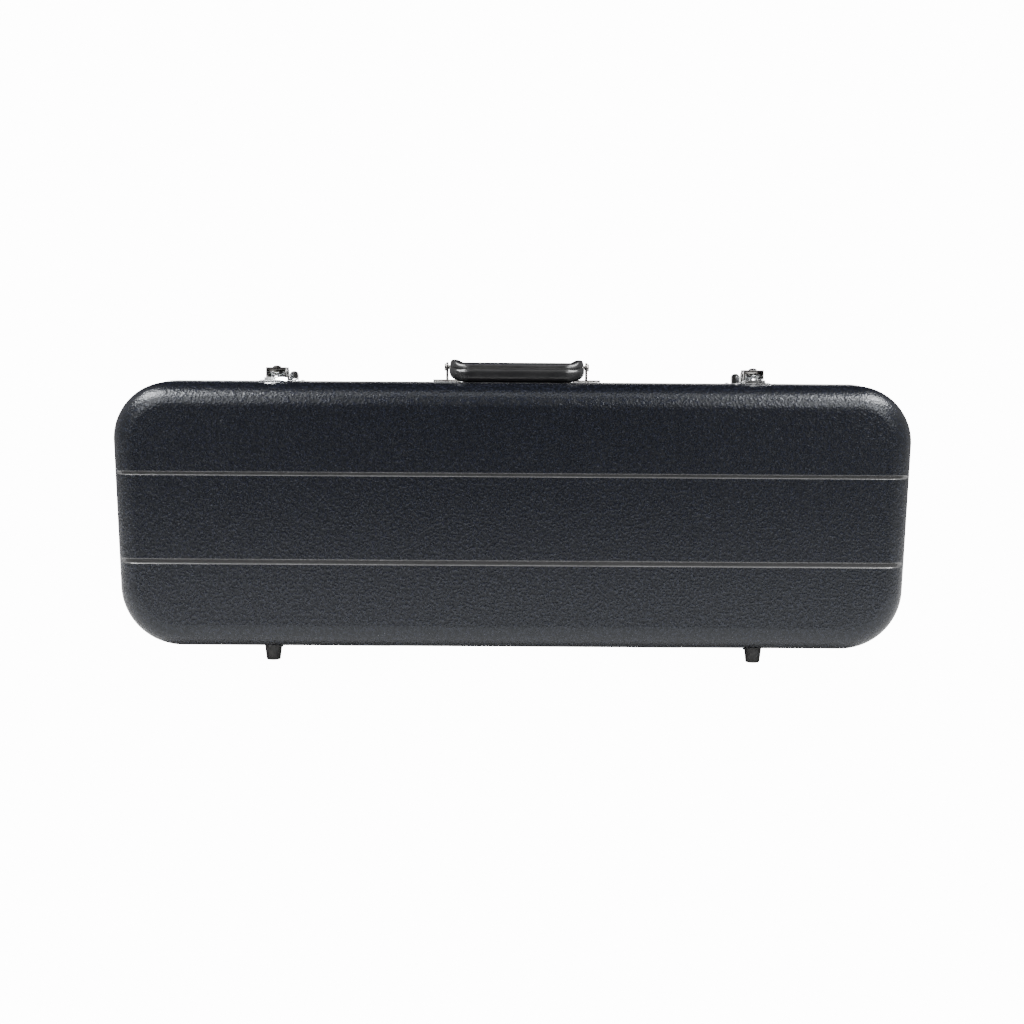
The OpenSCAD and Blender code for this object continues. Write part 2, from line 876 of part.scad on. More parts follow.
module accessory_lid_tab() {
  tab_x = (pocket_b_x[0] + pocket_b_x[1]) / 2;
  tab_z = pocket_b_z[1] - 14;
  color([0.12, 0.12, 0.14])
    box([tab_x - 8, accessory_lid_y - 1.3, tab_z], [tab_x + 8, accessory_lid_y - 0.05, tab_z + 24]);
}

// The fixed half of the pocket's hinge, on the foam below the pocket
module accessory_hinge() {
  strip_low = accessory_hinge_z - 9;
  color([0.10, 0.10, 0.11])
    difference() {
      union() {
        accessory_knuckles(0);
        for (k = [0:knuckles - 1])
          if (k % 2 == 0)
            box([pocket_b_x[0] + k * accessory_pitch + knuckle_gap / 2, accessory_hinge_y,
                 strip_low + 4],
                [pocket_b_x[0] + (k + 1) * accessory_pitch - knuckle_gap / 2,
                 foam_face_y - seat_gap, accessory_hinge_z]);
        box([pocket_b_x[0], foam_face_y - 1, strip_low],
            [pocket_b_x[1], foam_face_y - seat_gap, accessory_hinge_z - accessory_hinge_r - 0.6]);
      }
      accessory_bore();
    }
}

module accessory_hinge_pin() {
  color([0.66, 0.66, 0.68])
    translate([0, accessory_hinge_y, accessory_hinge_z])
      rod_x(pocket_b_x[0], pocket_b_x[1], accessory_pin_r);
}

bow_post_r = 2;

module bow_place(side) {
  translate([bow_clip_x, lining_face_y, mid_z + side * bow_z_offset])
    children();
}

// Foot plate and post of a bow clip, on the lid's lining
module bow_clip_base() {
  base_w = 30;
  base_h = 20;
  base_t = 4;
  post_l = 15;
  color([0.05, 0.05, 0.055]) {
    box([-base_w / 2, 0.1, -base_h / 2], [base_w / 2, base_t, base_h / 2]);
    rotate([-90, 0, 0])
      cylinder(r = bow_post_r, h = post_l, $fn = 32);
    translate([0, post_l, 0])
      rotate([-90, 0, 0])
        cylinder(r = bow_post_r + 1.2, h = 1.2, $fn = 32);
  }
}

// The clip turns on the post over the bow's stick
module bow_clip() {
  clip_l = 44;
  clip_t = 6;
  clip_y = 8;
  color([0.04, 0.04, 0.045])
    difference() {
      along_y(clip_y, clip_y + clip_t)
        union() {
          square([clip_l - 10, 10], center = true);
          for (x = [-1, 1])
            translate([x * (clip_l / 2 - 5), 0])
              circle(r = 5, $fn = 32);
        }
      rotate([-90, 0, 0])
        cylinder(r = bow_post_r + pin_gap, h = through, $fn = 32);
    }
}

module bow_clip_base_upper() { bow_place(1) bow_clip_base(); }
module bow_clip_base_lower() { bow_place(-1) bow_clip_base(); }
module bow_clip_upper() { bow_place(1) bow_clip(); }
module bow_clip_lower() { bow_place(-1) bow_clip(); }

// A sleeve on the lid's lining, open towards the bow clips
module bow_tip_pocket(side) {
  pocket_l = 60;
  pocket_w = 36;
  pocket_d = 22;
  cloth = 2;
  color([0.16, 0.16, 0.18])
    translate([bow_tip_x, lining_face_y + 0.1, mid_z + side * bow_z_offset])
      difference() {
        box([0, 0, -pocket_w / 2], [pocket_l, pocket_d, pocket_w / 2]);
        box([cloth, cloth, -pocket_w / 2 + cloth], [pocket_l + 1, pocket_d - cloth, pocket_w / 2 - cloth]);
      }
}

module bow_tip_pocket_upper() { bow_tip_pocket(1); }
module bow_tip_pocket_lower() { bow_tip_pocket(-1); }

lid_shell();
base_shell();
lid_valance();
base_valance();
front_foot_left();
front_foot_right();
rear_foot_left();
rear_foot_right();
front_foot_screws();
rear_foot_screws();
hinge_lid_leaf_left();
hinge_lid_leaf_right();
hinge_base_leaf_left();
hinge_base_leaf_right();
hinge_pin_left();
hinge_pin_right();
hinge_lid_rivets();
hinge_base_rivets();
handle_grip();
handle_bracket_left();
handle_bracket_right();
handle_pin_left();
handle_pin_right();
handle_rivets();
latch_plate_left();
latch_plate_right();
latch_lever_left();
latch_lever_right();
latch_pivot_pin_left();
latch_pivot_pin_right();
latch_claw_left();
latch_claw_right();
latch_claw_pin_left();
latch_claw_pin_right();
latch_stud_left();
latch_stud_right();
latch_keeper_left();
latch_keeper_right();
latch_plate_rivets();
latch_keeper_rivets();
foam_bed();
lid_lining();
neck_cradle();
neck_strap_upper();
neck_strap_lower();
pocket_divider();
accessory_lid();
accessory_lid_tab();
accessory_hinge();
accessory_hinge_pin();
bow_clip_base_upper();
bow_clip_base_lower();
bow_clip_upper();
bow_clip_lower();
bow_tip_pocket_upper();
bow_tip_pocket_lower();
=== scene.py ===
import bpy
import bmesh
import math
from mathutils import Matrix, Vector


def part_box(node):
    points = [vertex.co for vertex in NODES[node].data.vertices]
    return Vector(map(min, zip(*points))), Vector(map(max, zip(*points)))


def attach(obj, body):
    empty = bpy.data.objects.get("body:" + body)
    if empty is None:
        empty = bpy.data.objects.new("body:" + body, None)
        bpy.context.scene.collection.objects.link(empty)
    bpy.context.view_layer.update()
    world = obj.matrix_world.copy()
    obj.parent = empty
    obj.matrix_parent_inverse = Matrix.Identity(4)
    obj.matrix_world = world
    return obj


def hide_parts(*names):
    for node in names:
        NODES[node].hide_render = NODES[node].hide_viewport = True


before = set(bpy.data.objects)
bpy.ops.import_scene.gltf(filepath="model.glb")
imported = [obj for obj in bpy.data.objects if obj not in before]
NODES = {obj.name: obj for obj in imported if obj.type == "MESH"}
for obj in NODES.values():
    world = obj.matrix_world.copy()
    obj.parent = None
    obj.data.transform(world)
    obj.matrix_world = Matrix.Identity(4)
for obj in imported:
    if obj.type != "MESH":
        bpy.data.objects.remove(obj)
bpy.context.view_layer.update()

MM = 0.001

# ---------------------------------------------------------------- the case's own sizes

TOP_R = 57 * MM
BOTTOM_R = 62 * MM
EDGE_R = 24 * MM
WALL = 3 * MM
BOTTOM_HALF = 393 * MM
GROOVE_HEIGHTS = (103.2 * MM, 190.8 * MM)
GROOVE_HALVES = (2.6 * MM, 1.9 * MM)
GROOVE_DEPTH = 1.3 * MM
WELD_GAP = 0.002 * MM

shell_low, shell_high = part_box("lid_shell")
base_low, base_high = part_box("base_shell")
HALF = shell_high.x
TOP_Z = shell_high.z
BOTTOM_Z = shell_low.z
MID_Z = (TOP_Z + BOTTOM_Z) / 2
SEAM_Y = (shell_high.y + base_low.y) / 2
EDGE_GAP = base_low.y - SEAM_Y

# Centre and radius of the outline's right-hand corners
TOP_CORNER = (HALF - TOP_R, TOP_Z - TOP_R, TOP_R)
BOTTOM_CORNER = (BOTTOM_HALF - BOTTOM_R, BOTTOM_Z + BOTTOM_R, BOTTOM_R)


def ease(t):
    """Smooth step from 0 to 1."""
    t = min(1.0, max(0.0, t))
    return t * t * (3 - 2 * t)


# ---------------------------------------------------------------- shader helpers

def new_material(name, color, roughness, metallic=0.0, **sockets):
    """A material whose further sockets are named with _ for each space."""
    material = bpy.data.materials.new(name)
    material.use_nodes = True
    shader = material.node_tree.nodes["Principled BSDF"]
    shader.inputs["Base Color"].default_value = (*color, 1)
    shader.inputs["Roughness"].default_value = roughness
    shader.inputs["Metallic"].default_value = metallic
    for key, value in sockets.items():
        shader.inputs[key.replace("_", " ")].default_value = value
    return material


def add_node(material, kind, **settings):
    """A shader node; a setting named in_X goes to its input X, any other to the node."""
    node = material.node_tree.nodes.new(kind)
    for key, value in settings.items():
        if key.startswith("in_"):
            node.inputs[key[3:].replace("_", " ")].default_value = value
        else:
            setattr(node, key, value)
    return node


def link(material, out_node, out_name, in_node, in_name):
    material.node_tree.links.new(out_node.outputs[out_name], in_node.inputs[in_name])


def object_coordinates(material, scale=(1, 1, 1)):
    coordinates = add_node(material, "ShaderNodeTexCoord")
    mapping = add_node(material, "ShaderNodeMapping")
    mapping.inputs["Scale"].default_value = scale
    link(material, coordinates, "Object", mapping, "Vector")
    return mapping


def noise(material, mapping, scale, detail=2.0, rough=0.5):
    texture = add_node(material, "ShaderNodeTexNoise", in_Scale=scale, in_Detail=detail,
                       in_Roughness=rough)
    link(material, mapping, "Vector", texture, "Vector")
    return texture


def add_bump(material, height_node, height_name, strength, distance, under=None):
    """Raised relief, laid over the bump under it when there is one."""
    bump = add_node(material, "ShaderNodeBump", in_Strength=strength, in_Distance=distance)
    link(material, height_node, height_name, bump, "Height")
    if under is not None:
        link(material, under, "Normal", bump, "Normal")
    shader = material.node_tree.nodes["Principled BSDF"]
    link(material, bump, "Normal", shader, "Normal")
    return bump


def vary(material, socket, texture, low, high, from_low=0.3, from_high=0.7):
    """The texture's value, stretched between two numbers, drives a socket of the shader."""
    spread = add_node(material, "ShaderNodeMapRange", in_From_Min=from_low, in_From_Max=from_high,
                      in_To_Min=low, in_To_Max=high)
    link(material, texture, "Fac", spread, "Value")
    shader = material.node_tree.nodes["Principled BSDF"]
    link(material, spread, "Result", shader, socket)


def vary_color(material, texture, dark, light, from_low=0.3, from_high=0.7):
    """The texture's value picks between two base colours."""
    ramp = add_node(material, "ShaderNodeValToRGB")
    ramp.color_ramp.elements[0].position = from_low
    ramp.color_ramp.elements[0].color = (*dark, 1)
    ramp.color_ramp.elements[1].position = from_high
    ramp.color_ramp.elements[1].color = (*light, 1)
    link(material, texture, "Fac", ramp, "Fac")
    shader = material.node_tree.nodes["Principled BSDF"]
    link(material, ramp, "Color", shader, "Base Color")


# ---------------------------------------------------------------- materials

def grained_plastic(name):
    """Hard black plastic with a leather-like grain, glossier on its high spots; its base colour is
    paler there too, partly worn tops and partly painted glints.
    """
    material = new_material(name, (0.004, 0.005, 0.009), 0.27, Specular_IOR_Level=0.34,
                            Specular_Tint=(0.93, 0.96, 1.0, 1.0))
    space = object_coordinates(material)
    grain = noise(material, space, 360, detail=2.5, rough=0.6)
    pebble = add_node(material, "ShaderNodeTexVoronoi", in_Scale=470.0)
    link(material, space, "Vector", pebble, "Vector")
    first = add_bump(material, pebble, "Distance", 0.4, 0.3 * MM)
    add_bump(material, grain, "Fac", 0.8, 0.55 * MM, under=first)
    # Painted glints: the base colour is paler where the grain noise is high, standing in for
    # glints of light on the grain as well as worn tops.
    vary_color(material, grain, (0.0006, 0.0009, 0.002), (0.008, 0.009, 0.014), 0.46, 0.66)
    vary(material, "Roughness", grain, 0.35, 0.21, 0.4, 0.62)
    return material


def smooth_plastic(name, color, roughness, grain_scale=1400, grain_depth=0.05 * MM):
    """Moulded plastic with a fine grain and slow changes of gloss and colour."""
    material = new_material(name, color, roughness)
    space = object_coordinates(material)
    grain = noise(material, space, grain_scale, detail=2.0)
    add_bump(material, grain, "Fac", 0.35, grain_depth)
    handling = noise(material, space, 40, detail=5.0)
    vary(material, "Roughness", handling, roughness - 0.05, roughness + 0.07)
    light = tuple(1.6 * c for c in color)
    vary_color(material, noise(material, space, 14, detail=3.0), color, light)
    return material


def brushed_metal(name, color, roughness, stretch):
    """Metal with fine lines, long where the noise's scale is small."""
    material = new_material(name, color, roughness, metallic=1.0)
    space = object_coordinates(material, stretch)
    lines = noise(material, space, 1.0, detail=4.0, rough=0.7)
    add_bump(material, lines, "Fac", 0.25, 0.04 * MM)
    vary(material, "Roughness", lines, roughness - 0.07, roughness + 0.1)
    dark = tuple(0.86 * c for c in color)
    vary_color(material, lines, dark, color)
    return material


def polished_metal(name, color, roughness):
    """Plated metal with a faint ripple and smudges."""
    material = new_material(name, color, roughness, metallic=1.0)
    space = object_coordinates(material)
    smudge = noise(material, space, 55, detail=6.0)
    ripple = noise(material, space, 160, detail=2.0)
    add_bump(material, ripple, "Fac", 0.12, 0.2 * MM)
    vary(material, "Roughness", smudge, roughness, roughness + 0.14)
    dark = tuple(0.88 * c for c in color)
    vary_color(material, smudge, dark, color)
    return material


def rubber(name):
    """Matt black rubber with a little dust."""
    material = new_material(name, (0.016, 0.016, 0.017), 0.72)
    space = object_coordinates(material)
    fine = noise(material, space, 1500, detail=3.0)
    add_bump(material, fine, "Fac", 0.5, 0.1 * MM)
    dust = noise(material, space, 90, detail=5.0)
    vary_color(material, dust, (0.012, 0.012, 0.013), (0.03, 0.029, 0.028))
    return material


def plush(name, dark, light):
    """Short pile over foam: sheen, fine pile and slow changes of nap."""
    material = new_material(name, dark, 0.95, Sheen_Weight=0.35, Sheen_Roughness=0.45,
                            Specular_IOR_Level=0.12)
    space = object_coordinates(material)
    pile = noise(material, space, 1300, detail=3.0, rough=0.7)
    nap = noise(material, space, 45, detail=6.0, rough=0.62)
    first = add_bump(material, nap, "Fac", 0.2, 1.5 * MM)
    add_bump(material, pile, "Fac", 0.8, 0.7 * MM, under=first)
    vary_color(material, nap, dark, light, 0.36, 0.66)
    return material


def webbing(name, color):
    """Woven tape: threads across laid over threads along."""
    material = new_material(name, color, 0.8, Sheen_Weight=0.2)
    space = object_coordinates(material)
    threads = []
    relief = None
    for direction in ("X", "Z"):
        thread = add_node(material, "ShaderNodeTexWave", in_Scale=260.0, in_Distortion=0.6,
                          in_Detail=1.0, bands_direction=direction)
        link(material, space, "Vector", thread, "Vector")
        relief = add_bump(material, thread, "Fac", 0.6, 0.4 * MM, under=relief)
        threads.append(thread)
    dark = tuple(0.7 * c for c in color)
    light = tuple(1.5 * c for c in color)
    vary_color(material, threads[0], dark, light, 0.1, 0.9)
    return material


SHELL = grained_plastic("shell_grain")
# Painted highlight: the groove flanks are a paler plastic than the shell, standing in for light
# caught on the groove's lips.
GROOVE_PAINTED_HIGHLIGHT = smooth_plastic("shell_groove_painted_highlight", (0.045, 0.045, 0.046), 0.24, 700, 0.1 * MM)
# Painted shade: the groove floor is near-black, standing in for the shade in the groove's recess.
GROOVE_FLOOR_PAINTED_SHADE = smooth_plastic("shell_groove_floor_painted_shade", (0.001, 0.001, 0.0015), 0.6, 700, 0.1 * MM)
SHELL_INSIDE = smooth_plastic("shell_inside", (0.014, 0.014, 0.015), 0.6)
VALANCE = brushed_metal("brushed_aluminium", (0.80, 0.81, 0.82), 0.28, (30, 1500, 1500))
CHROME = polished_metal("latch_chrome", (0.86, 0.87, 0.88), 0.07)
# Painted shade: near-black chrome for the latch levers and studs, standing in for the shade in the
# lever's hollow.
PAINTED_SHADE_CHROME = polished_metal("lever_painted_shade_chrome", (0.075, 0.073, 0.070), 0.10)
NICKEL = polished_metal("bracket_nickel", (0.66, 0.64, 0.61), 0.16)
STEEL = brushed_metal("hinge_steel", (0.60, 0.61, 0.62), 0.30, (900, 900, 900))
GRIP = smooth_plastic("grip_plastic", (0.004, 0.004, 0.0045), 0.30, 1100, 0.08 * MM)
RUBBER = rubber("foot_rubber")
PLUSH = plush("charcoal_plush", (0.017, 0.017, 0.020), (0.026, 0.026, 0.030))
CLOTH = plush("pocket_cloth", (0.011, 0.011, 0.013), (0.018, 0.018, 0.021))
PIPING = plush("plush_piping", (0.006, 0.006, 0.007), (0.011, 0.011, 0.013))
WEB = webbing("black_webbing", (0.018, 0.018, 0.020))
CLIP = smooth_plastic("clip_plastic", (0.014, 0.014, 0.015), 0.36)


# ---------------------------------------------------------------- mesh helpers

def shade_smooth(mesh):
    mesh.polygons.foreach_set("use_smooth", [True] * len(mesh.polygons))


def mesh_object(name, verts, faces, materials):
    """A new smooth-shaded mesh object."""
    mesh = bpy.data.meshes.new(name)
    mesh.from_pydata(verts, [], faces)
    mesh.validate()
    piece = bpy.data.objects.new(name, mesh)
    bpy.context.scene.collection.objects.link(piece)
    for material in materials:
        mesh.materials.append(material)
    shade_smooth(mesh)
    return piece


def make_normals_outward(piece):
    work = bmesh.new()
    work.from_mesh(piece.data)
    bmesh.ops.recalc_face_normals(work, faces=work.faces)
    work.to_mesh(piece.data)
    work.free()


def apply_modifiers(piece):
    """Gives the piece the mesh that its modifiers make, and removes them."""
    graph = bpy.context.evaluated_depsgraph_get()
    mesh = bpy.data.meshes.new_from_object(piece.evaluated_get(graph))
    piece.modifiers.clear()
    piece.data = mesh
    return piece


def copy_of(node, name):
    """A new object with a CAD node's shape, with its duplicate corner points joined."""
    piece = bpy.data.objects.new(name, NODES[node].data.copy())
    bpy.context.scene.collection.objects.link(piece)
    work = bmesh.new()
    work.from_mesh(piece.data)
    bmesh.ops.remove_doubles(work, verts=work.verts, dist=WELD_GAP)
    work.to_mesh(piece.data)
    work.free()
    piece.data.materials.clear()
    return piece


def remeshed(piece, voxel, smoothing, factor=0.5):
    """Even faces of about a voxel's size, with the edges smoothed over."""
    remesh = piece.modifiers.new("remesh", "REMESH")
    remesh.mode = "VOXEL"
    remesh.voxel_size = voxel
    remesh.use_smooth_shade = True
    smooth = piece.modifiers.new("smooth", "SMOOTH")
    smooth.factor = factor
    smooth.iterations = smoothing
    return apply_modifiers(piece)


# ---------------------------------------------------------------- moulded shells

ARC_STEPS = 20
SIDE_ROWS = 34
FILLET_STEPS = 12
LAND_STEPS = 3
FACE_COLUMNS = 24
GROOVE_ROWS = 8
ROWS_REACH = 1.4
ROWS_CLEAR = 1.6
FLANK_SHARE = 0.42
NARROWEST = 0.35
FADE_START = math.radians(30)
FADE_END = math.radians(55)
FLOOR_SHARE = 0.9
FLANK_FLOOR = 0.02
# Shell material slots: the flank slot carries painted highlight on the groove lips, the floor slot
# painted shade in the groove.
GRAINED, PAINTED_HIGHLIGHT_FLANK, INSIDE, PAINTED_SHADE_FLOOR = range(4)


def side_heights():
    """Heights of the rows up the straight sides, closer together across each groove."""
    low = BOTTOM_Z + BOTTOM_R
    high = TOP_Z - TOP_R
    rows = {round(low + (high - low) * i / SIDE_ROWS, 6) for i in range(SIDE_ROWS + 1)}
    grooves = list(zip(GROOVE_HEIGHTS, GROOVE_HALVES))
    rows = {z for z in rows if all(abs(z - g) > ROWS_CLEAR * half for g, half in grooves)}
    for g, half in grooves:
        for k in range(-GROOVE_ROWS, GROOVE_ROWS + 1):
            rows.add(round(g + ROWS_REACH * half * k / GROOVE_ROWS, 6))
    return sorted(rows | {round(low, 6), round(high, 6)})


SIDE_Z = side_heights()


def half_profile(inset):
    """Points up the right-hand half of the outline, from the bottom middle to the top middle."""
    bottom_x, bottom_z, bottom_r = BOTTOM_CORNER
    top_x, top_z, top_r = TOP_CORNER
    points = []
    for i in range(ARC_STEPS):
        a = math.radians(-90 + 90 * i / ARC_STEPS)
        r = bottom_r - inset
        points.append((bottom_x + r * math.cos(a), bottom_z + r * math.sin(a)))
    low_x = bottom_x + bottom_r - inset
    high_x = top_x + top_r - inset
    for z in SIDE_Z:
        share = (z - SIDE_Z[0]) / (SIDE_Z[-1] - SIDE_Z[0])
        points.append((low_x + (high_x - low_x) * share, z))
    for i in range(1, ARC_STEPS + 1):
        a = math.radians(90 * i / ARC_STEPS)
        r = top_r - inset
        points.append((top_x + r * math.cos(a), top_z + r * math.sin(a)))
    return points


def groove_dip(z, open_share):
    """Depth of the groove at a height, where open_share of the full groove is left."""
    for g, full in zip(GROOVE_HEIGHTS, GROOVE_HALVES):
        half = full * (NARROWEST + (1 - NARROWEST) * open_share)
        off = abs(z - g) / half
        if off < 1:
            return GROOVE_DEPTH * open_share * ease((1 - off) / FLANK_SHARE)
    return 0.0


def shell_skin(side, depth, inset, grooved):
    """One skin of a shell: points, faces, each point's groove depth and a ring's length.
    Rings run from the seam over the rounded edge, where the grooves fade in, and straight
    rows join the last ring's two halves across the face."""
    round_r = EDGE_R - inset
    rings = []
    for i in range(LAND_STEPS):
        rings.append((EDGE_GAP + (depth - EDGE_R - EDGE_GAP) * i / LAND_STEPS, inset, 0.0))
    for i in range(FILLET_STEPS + 1):
        a = math.radians(90 * i / FILLET_STEPS)
        y = depth - inset - round_r + round_r * math.sin(a)
        share = ease((a - FADE_START) / (FADE_END - FADE_START))
        rings.append((y, inset + round_r * (1 - math.cos(a)), share))
    verts = []
    dips = []
    count = len(half_profile(0))
    for y, d, share in rings:
        lean = max(0.0, (y - (depth - inset - round_r)) / round_r)
        out = math.sqrt(max(0.0, 1 - lean * lean))
        half = half_profile(d)
        ring = [(x, z) for x, z in half] + [(-x, z) for x, z in reversed(half)]
        for x, z in ring:
            dip = groove_dip(z, share) if grooved else 0.0
            verts.append((x - math.copysign(dip * out, x), SEAM_Y + side * (y - dip * lean), z))
            dips.append(dip)
    size = 2 * count
    faces = []
    for k in range(len(rings) - 1):
        for i in range(size):
            j = (i + 1) % size
            faces.append((k * size + i, k * size + j, (k + 1) * size + j, (k + 1) * size + i))
    last = (len(rings) - 1) * size
    rows = []
    for i in range(count):
        right = verts[last + i]
        left = verts[last + size - 1 - i]
        row = [last + i]
        for c in range(1, FACE_COLUMNS):
            t = c / FACE_COLUMNS
            row.append(len(verts))
            verts.append((right[0] + (left[0] - right[0]) * t, right[1], right[2]))
            dips.append(dips[last + i])
        row.append(last + size - 1 - i)
        rows.append(row)
    for i in range(count - 1):
        for c in range(FACE_COLUMNS):
            faces.append((rows[i][c], rows[i][c + 1], rows[i + 1][c + 1], rows[i + 1][c]))
    return verts, faces, dips, size


def build_shell(name, body, side, depth):
    """A shell of two skins, joined along the seam; side is -1 for the lid, 1 for the base."""
    verts, faces, dips, size = shell_skin(side, depth, 0.0, True)
    inner_verts, inner_faces, _, _ = shell_skin(side, depth, WALL, False)
    outer_count = len(faces)
    offset = len(verts)
    verts = verts + inner_verts
    faces = faces + [tuple(offset + v for v in face) for face in inner_faces]
    for i in range(size):
        j = (i + 1) % size
        faces.append((i, offset + i, offset + j, j))
    piece = mesh_object(name, verts, faces, (SHELL, GROOVE_PAINTED_HIGHLIGHT, SHELL_INSIDE, GROOVE_FLOOR_PAINTED_SHADE))
    for polygon in piece.data.polygons:
        if polygon.index >= outer_count:
            polygon.material_index = INSIDE
            continue
        dip = sum(dips[v] for v in polygon.vertices) / len(polygon.vertices)
        # Faces deep in a groove: near-black plastic, painted shade.
        if dip > FLOOR_SHARE * GROOVE_DEPTH:
            polygon.material_index = PAINTED_SHADE_FLOOR
        # Faces on a groove's flanks: the paler plastic, painted highlight.
        elif dip > FLANK_FLOOR * GROOVE_DEPTH:
            polygon.material_index = PAINTED_HIGHLIGHT_FLANK
    make_normals_outward(piece)
    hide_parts(body + "_shell")
    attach(piece, body)


build_shell("lid_shell_moulded", "lid", -1, SEAM_Y - shell_low.y)
build_shell("base_shell_moulded", "base", 1, base_high.y - SEAM_Y)


# ---------------------------------------------------------------- metal and small parts

SHARP_ANGLE = math.radians(35)
SHADE_ANGLE = math.radians(30)


def finish_node(node, material, bevel):
    """Gives a CAD node its finish, and breaks its sharp edges as a press or a mould does."""
    piece = NODES[node]
    piece.data.materials.clear()
    piece.data.materials.append(material)
    shade_smooth(piece.data)
    if bevel:
        weld = piece.modifiers.new("weld", "WELD")
        weld.merge_threshold = WELD_GAP
        edge = piece.modifiers.new("edge", "BEVEL")
        edge.width = bevel
        edge.segments = 3
        edge.limit_method = "ANGLE"
        edge.angle_limit = SHARP_ANGLE
        edge.use_clamp_overlap = True
        edge.harden_normals = True
    else:
        piece.data.set_sharp_from_angle(angle=SHADE_ANGLE)


FINISHES = (
    (("lid_valance", "base_valance"), VALANCE, 0.35 * MM),
    (("front_foot_left", "front_foot_right", "rear_foot_left", "rear_foot_right"), RUBBER, 0),
    (("front_foot_screws", "rear_foot_screws"), STEEL, 0.12 * MM),
    (("hinge_lid_leaf_left", "hinge_lid_leaf_right", "hinge_base_leaf_left",
      "hinge_base_leaf_right"), STEEL, 0.25 * MM),
    (("hinge_pin_left", "hinge_pin_right"), STEEL, 0.2 * MM),
    (("hinge_lid_rivets", "hinge_base_rivets", "handle_rivets", "latch_plate_rivets",
      "latch_keeper_rivets"), CHROME, 0),
    (("handle_bracket_left", "handle_bracket_right", "handle_pin_left", "handle_pin_right"),
     NICKEL, 0.3 * MM),
    (("latch_plate_left", "latch_plate_right", "latch_claw_left", "latch_claw_right",
      "latch_keeper_left", "latch_keeper_right"), CHROME, 0.3 * MM),
    # Latch levers and studs: near-black chrome, painted shade of the lever's hollow.
    (("latch_lever_left", "latch_lever_right"), PAINTED_SHADE_CHROME, 0.25 * MM),
    (("latch_pivot_pin_left", "latch_pivot_pin_right", "latch_claw_pin_left",
      "latch_claw_pin_right"), STEEL, 0.2 * MM),
    (("latch_stud_left", "latch_stud_right"), PAINTED_SHADE_CHROME, 0),
    (("accessory_hinge", "accessory_hinge_pin"), CLIP, 0.2 * MM),
    (("bow_clip_base_upper", "bow_clip_base_lower", "bow_clip_upper", "bow_clip_lower"),
     CLIP, 0.6 * MM),
    (("neck_strap_upper", "neck_strap_lower", "accessory_lid_tab"), WEB, 0.4 * MM),
)
for nodes, material, bevel in FINISHES:
    for node in nodes:
        finish_node(node, material, bevel)


# ---------------------------------------------------------------- handle grip

GRIP_AROUND = 96
CORNER_R = 17 * MM
BAR_HALF = 7.4 * MM
ARM_HALF = 4.1 * MM
LUG_R = 7.5 * MM
BAR_HEIGHT = 20.2 * MM
RISE_START = 15 * MM
RISE_LENGTH = 9 * MM
CORNER_LIFT = 6.5 * MM
ARM_LIFT = 3.6 * MM
GROOVE_LEVEL = 0.33
GROOVE_SPREAD = 0.08
GROOVE_CUT = 1.5 * MM
LEDGE_LEVEL = 0.30
LEDGE_SPREAD = 0.12
LEDGE_CUT = 0.7 * MM
GROOVE_CLIMB = 0.22
BAR_STEPS = 20
CORNER_STEPS = 16
SMALLEST_END = 0.03


def grip_stations(low, high):
    """Points along the right half of the grip's middle line, from the bar's middle to the lug:
    place, direction out of the grip, half thickness, bottom and top, and share of full size."""
    end_x = (high.x - low.x) / 2
    arm_x = end_x - ARM_HALF
    bar_y = low.y + BAR_HALF
    corner_y = bar_y + CORNER_R
    tip_y = high.y
    quarter = math.radians(90)
    stations = []
    for i in range(BAR_STEPS):
        stations.append(((arm_x - CORNER_R) * i / BAR_STEPS, bar_y, 0.0, 0.0))
    for i in range(CORNER_STEPS + 1):
        a = quarter * i / CORNER_STEPS
        x = arm_x - CORNER_R + CORNER_R * math.sin(a)
        stations.append((x, corner_y - CORNER_R * math.cos(a), a, 0.0))
    for i in range(1, BAR_STEPS + 1):
        share = 1 - (1 - i / BAR_STEPS) ** 1.6
        stations.append((arm_x, corner_y + (tip_y - corner_y) * share, quarter, share))
    result = []
    for x, y, a, share in stations:
        half = BAR_HALF + (ARM_HALF - BAR_HALF) * ease(a / quarter)
        lift = CORNER_LIFT * (1 - math.cos(a)) ** 0.9 + ARM_LIFT * ease(share * 1.3)
        risen = ease((x - (end_x - RISE_START)) / RISE_LENGTH)
        top = high.z - (high.z - low.z - BAR_HEIGHT) * (1 - risen)
        left = min(LUG_R, max(0.0, tip_y - y))
        size = math.sqrt(1 - (1 - left / LUG_R) ** 2)
        result.append((x, y, math.sin(a), -math.cos(a), half, low.z + lift, top,
                       max(size, SMALLEST_END)))
    return result


def grip_profile(half, height, turn):
    """Offsets outward and upward of a rounded bar, with a groove along the upper outside
    that climbs as the grip turns its corner, and a ledge above it."""
    points = []
    for i in range(GRIP_AROUND):
        a = 2 * math.pi * i / GRIP_AROUND
        c, s = math.cos(a), math.sin(a)
        out = math.copysign(abs(c) ** 0.72, c)
        up = math.copysign(abs(s) ** 0.66, s)
        offset = half * out
        if c > 0:
            level = up + GROOVE_CLIMB * turn
            groove = GROOVE_CUT * math.exp(-((level - GROOVE_LEVEL) / GROOVE_SPREAD) ** 2)
            ledge = LEDGE_CUT * ease((level - LEDGE_LEVEL) / LEDGE_SPREAD)
            offset -= (groove + ledge) * c ** 0.3
        points.append((offset, height / 2 * up))
    return points


